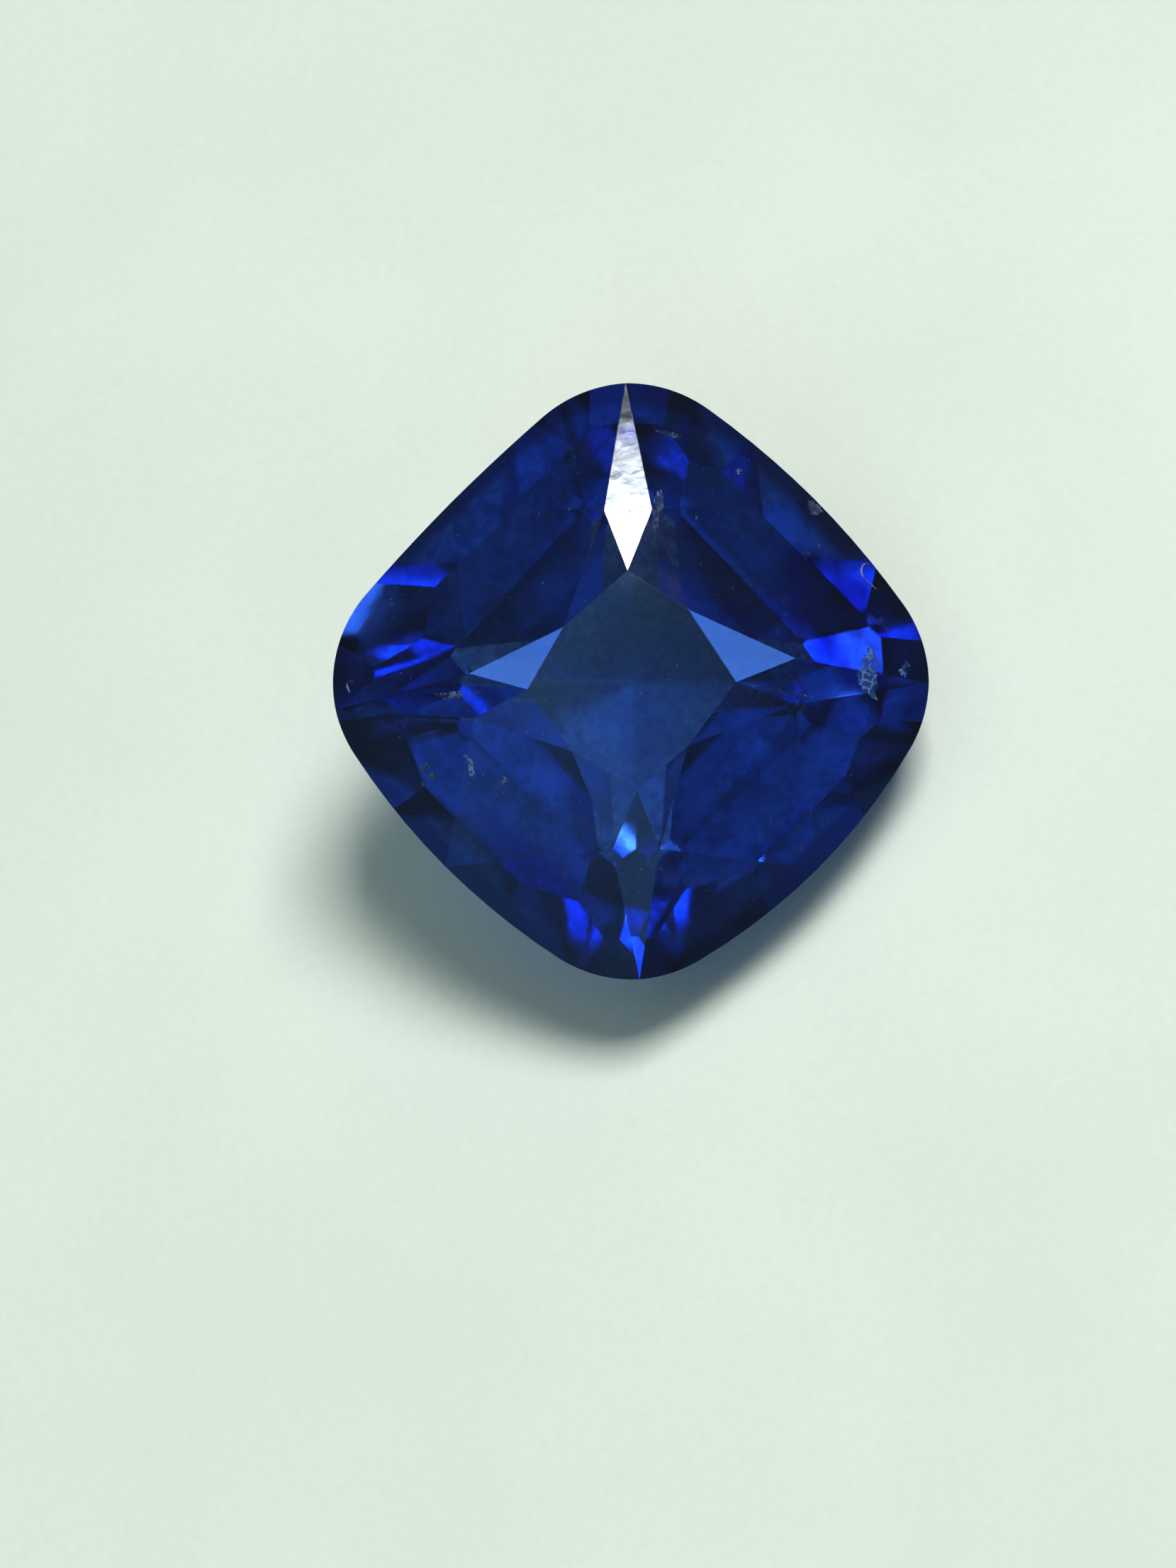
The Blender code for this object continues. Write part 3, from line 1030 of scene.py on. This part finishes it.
    def scatter_dust(self, crown: BVHTree) -> bpy.types.Object:
        """Scatters fine crystal dust under the crown, as one piece.

        The grains are spread evenly over a disc round the table's middle.  Each is an
        octahedron: six points, one each way along the stone's three directions, at random
        lengths.

        Args:
            crown: the stone's faces.

        Returns:
            The piece.
        """
        chance = np.random.default_rng(self.dust_seed)
        reach = self.dust_reach * np.sqrt(chance.random(self.dust_count))
        bearing = chance.random(self.dust_count) * 2.0 * math.pi
        depth = chance.uniform(*self.dust_depth, self.dust_count)
        size = chance.uniform(*self.dust_size, (self.dust_count, 1, 1))
        seats = []
        for right, up, under in zip(reach * np.sin(bearing), reach * np.cos(bearing), depth):
            point, _ = self.seat(crown, Mark("grain", Flaw.PINPOINT, right, up, 0.0, 0.0, under=under))
            seats.append(point)
        stretch = chance.uniform(*self.dust_stretch, (self.dust_count, 3, 1))
        legs = np.array([self.axes.right, self.axes.up, self.axes.axis]) * stretch * size * MM
        points = np.concatenate([legs, -legs], axis=1) + np.array(seats)[:, None, :]
        ring, top, bottom = (0, 1, 3, 4), 2, 5
        sides = list(zip(ring, ring[1:] + ring[:1]))
        shell = [[first, second, top] for first, second in sides]
        shell += [[second, first, bottom] for first, second in sides]
        first_points = np.arange(self.dust_count)[:, None, None] * points.shape[1]
        faces = (first_points + np.array(shell)).reshape(-1, 3)
        return self.close_ends(mesh_piece("crystal_dust", points.reshape(-1, 3), faces))

    def close_ends(self, piece: bpy.types.Object) -> bpy.types.Object:
        """Merges a piece's poles, closes its ends and turns its faces outwards.

        Args:
            piece: the piece.

        Returns:
            The piece.
        """
        shell = bmesh.new()
        shell.from_mesh(piece.data)
        bmesh.ops.remove_doubles(shell, verts=shell.verts[:], dist=self.merge_within)
        ends = [edge for edge in shell.edges if edge.is_boundary]
        if ends:
            bmesh.ops.holes_fill(shell, edges=ends, sides=0)
        bmesh.ops.recalc_face_normals(shell, faces=shell.faces[:])
        shell.to_mesh(piece.data)
        shell.free()
        return piece


@dataclass
class Studio:
    """The floor, the lamp, a weak fill, two dim windows, the room's own light and the camera.

    A lean is an angle from the stone's axis, and a bearing is clockwise from the picture's
    up, both in degrees.  The field is what the camera sees at the girdle: its height, and
    its middle right of and above the table's.
    """

    axes: StoneAxes
    floor_finish: FloorFinish = FloorFinish()
    floor_reach: float = 1.5
    floor_gap: float = 0.03 * MM
    floor_grid: tuple[int, int] = (24, 64)
    floor_crowding: int = 3
    floor_merge: float = 0.001 * MM
    lamp_lean: float = 36.1
    lamp_bearing: float = 8.0
    lamp_away: float = 0.60
    lamp_wide: float = 0.20
    lamp_high: float = 0.20
    lamp_power: float = 4.9
    lamp_fade: float = 0.055
    lamp_fade_tint: Colour = (0.62, 0.92, 1.0)
    fill_power: float = 2.4
    fill_side: float = 1.0
    fill_high: float = 1.0
    fill_tint: Colour = (0.90, 1.0, 0.65)
    room_light: float = 0.10
    room_tint: Colour = (0.60, 0.80, 0.80)
    sky_light: float = 0.58
    sky_tint: Colour = (0.27, 0.60, 1.0)
    sky_lean: float = 30.0
    sky_bearing: float = -165.0
    sky_within: float = 12.0
    sky_until: float = 42.0
    window_tint: Colour = (0.08, 0.26, 1.0)
    window_glow: float = 6.4
    window_away: float = 0.80
    window_side: float = 0.225
    window_places: tuple[tuple[str, float, float], ...] = (
        ("window_right", 44.0, 58.0),
        ("window_left", 46.0, -58.0),
    )
    camera_away: float = 0.130
    camera_clip: float = 0.001
    sensor_high: float = 24.0
    field_high: float = 0.0303
    field_right: float = -0.82 * MM
    field_up: float = -1.96 * MM
    girdle_depth: float = 1.95 * MM

    def lay_floor(self) -> bpy.types.Object:
        """Lays a round floor just under the stone, in rings that crowd towards the middle.

        Returns:
            The floor.
        """
        rows, columns = self.floor_grid
        out, around = np.meshgrid(
            self.floor_reach * np.linspace(0.0, 1.0, rows) ** self.floor_crowding,
            np.linspace(0.0, 2.0 * math.pi, columns, endpoint=False),
            indexing="ij",
        )
        points = np.stack([out * np.cos(around), out * np.sin(around), 0.0 * out - self.floor_gap], axis=-1)
        floor = mesh_piece("floor", points.reshape(-1, 3), wrap_grid(rows, columns))
        surface = bmesh.new()
        surface.from_mesh(floor.data)
        bmesh.ops.remove_doubles(surface, verts=surface.verts[:], dist=self.floor_merge)
        bmesh.ops.recalc_face_normals(surface, faces=surface.faces[:])
        if surface.faces[:][0].normal.z < 0.0:
            bmesh.ops.reverse_faces(surface, faces=surface.faces[:])
        surface.to_mesh(floor.data)
        surface.free()
        floor.data.materials.append(self.floor_finish.make())
        return floor

    def hang(self, light: bpy.types.Light, lean: float, bearing: float, away: float) -> bpy.types.Object:
        """Hangs an area light that faces the stone, with its edges level with the picture's.

        Args:
            light: the light's data.
            lean: its angle from the stone's axis, in degrees.
            bearing: which way it stands, in degrees clockwise from the picture's up.
            away: its distance.

        Returns:
            The light.
        """
        lamp = bpy.data.objects.new(light.name, light)
        bpy.context.scene.collection.objects.link(lamp)
        towards = self.axes.towards(lean, bearing)
        level = self.axes.up.cross(towards).normalized()
        turned = Matrix((level, towards.cross(level), towards)).transposed().to_4x4()
        turned.translation = self.axes.place(0.0, 0.0, self.girdle_depth) + towards * away
        lamp.matrix_world = turned
        return lamp

    def fade_out(self, light: bpy.types.Light, reach: float, tint: Colour) -> None:
        """Lets an area light die away towards its top edge, as a softbox does.

        Args:
            light: the light's data.
            reach: the share of its height over which it fades.
            tint: its colour where it is faint.
        """
        shader = Shader(light)
        across = shader.value("NewGeometry", out="Parametric")
        up = shader.value("SeparateXYZ", out="Y", Vector=across)
        fade = ((1.0 - up) / reach).at_most(1.0)
        colour = shader.blend(fade, opaque(tint), WHITE)
        shader.finish(Surface=shader.value("Emission", out="Emission", Color=colour, Strength=fade))

    def hang_lamp(self) -> bpy.types.Object:
        """Hangs the soft lamp whose reflection fills the kite facet.

        Returns:
            The lamp.
        """
        light = bpy.data.lights.new("soft_lamp", "AREA")
        light.shape = "RECTANGLE"
        light.size = self.lamp_wide
        light.size_y = self.lamp_high
        light.energy = self.lamp_power
        self.fade_out(light, self.lamp_fade, self.lamp_fade_tint)
        return self.hang(light, self.lamp_lean, self.lamp_bearing, self.lamp_away)

    def hang_fill(self) -> bpy.types.Object:
        """Hangs a wide, weak light that only softens the shadow on the floor.

        Reflections and the view through the stone leave it out.

        Returns:
            The light.
        """
        light = bpy.data.lights.new("floor_fill", "AREA")
        light.shape = "SQUARE"
        light.size = self.fill_side
        light.energy = self.fill_power
        light.color = self.fill_tint
        fill = bpy.data.objects.new(light.name, light)
        bpy.context.scene.collection.objects.link(fill)
        fill.location = (0.0, 0.0, self.fill_high)
        fill.visible_glossy = False
        fill.visible_transmission = False
        return fill

    def hang_window(self, name: str, lean: float, bearing: float) -> bpy.types.Object:
        """Hangs a dim square of light that some facets show as a bright patch.

        It gives no light to matt surfaces.

        Args:
            name: the light's name.
            lean: its angle from the stone's axis, in degrees.
            bearing: which way it stands, in degrees clockwise from the picture's up.

        Returns:
            The light.
        """
        light = bpy.data.lights.new(name, "AREA")
        light.shape = "SQUARE"
        light.size = self.window_side
        light.energy = self.window_glow * math.pi * self.window_side**2
        light.color = self.window_tint
        window = self.hang(light, lean, bearing, self.window_away)
        window.visible_diffuse = False
        return window

    def light_room(self) -> bpy.types.World:
        """Lights the room dimly all round, and more behind the camera.

        Returns:
            The world.
        """
        world = bpy.data.worlds.new("soft_room")
        bpy.context.scene.world = world
        shader = Shader(world)
        sight = shader.value("TexCoord", out="Generated")
        nearness = shader.dot(sight, self.axes.towards(self.sky_lean, self.sky_bearing))
        edge, core = (math.cos(math.radians(angle)) for angle in (self.sky_until, self.sky_within))
        ahead = shader.ramp(nearness, edge, core)
        dim = opaque(self.room_tint, self.room_light)
        bright = opaque(self.sky_tint, self.sky_light)
        glow = shader.blend(ahead, dim, bright)
        room = shader.value("Background", out="Background", Color=glow, Strength=1.0)
        shader.finish(Surface=room)
        return world

    def set_camera(self) -> bpy.types.Object:
        """Looks straight down on the table, with the stone where the photograph has it.

        Returns:
            The camera.
        """
        lens = bpy.data.cameras.new("camera")
        lens.sensor_fit = "VERTICAL"
        lens.sensor_height = self.sensor_high
        lens.lens = self.sensor_high * self.camera_away / self.field_high
        lens.clip_start = self.camera_clip
        camera = bpy.data.objects.new("camera", lens)
        bpy.context.scene.collection.objects.link(camera)
        bpy.context.scene.camera = camera
        middle = self.axes.place(self.field_right, self.field_up, self.girdle_depth)
        turned = Matrix((self.axes.right, self.axes.up, self.axes.axis)).transposed().to_4x4()
        turned.translation = middle + self.axes.axis * self.camera_away
        camera.matrix_world = turned
        return camera

    def build(self) -> None:
        """Builds the whole studio and sets plain colour handling."""
        self.lay_floor()
        self.hang_lamp()
        self.hang_fill()
        for name, lean, bearing in self.window_places:
            self.hang_window(name, lean, bearing)
        self.light_room()
        self.set_camera()
        bpy.context.scene.view_settings.view_transform = "Standard"
        LOG.info("studio: floor, lamp, fill, windows, room light and camera")


def main() -> None:
    """Builds the studio, the stone and its inclusions."""
    logging.basicConfig(level=logging.INFO, format="%(name)s %(message)s")
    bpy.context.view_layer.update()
    axes = StoneAxes.from_record(frame["record"])
    Studio(axes).build()
    stone = CutStone(axes).build()
    Inclusions(axes, stone).build()
    bpy.context.view_layer.update()


if __name__ == "__main__":
    main()
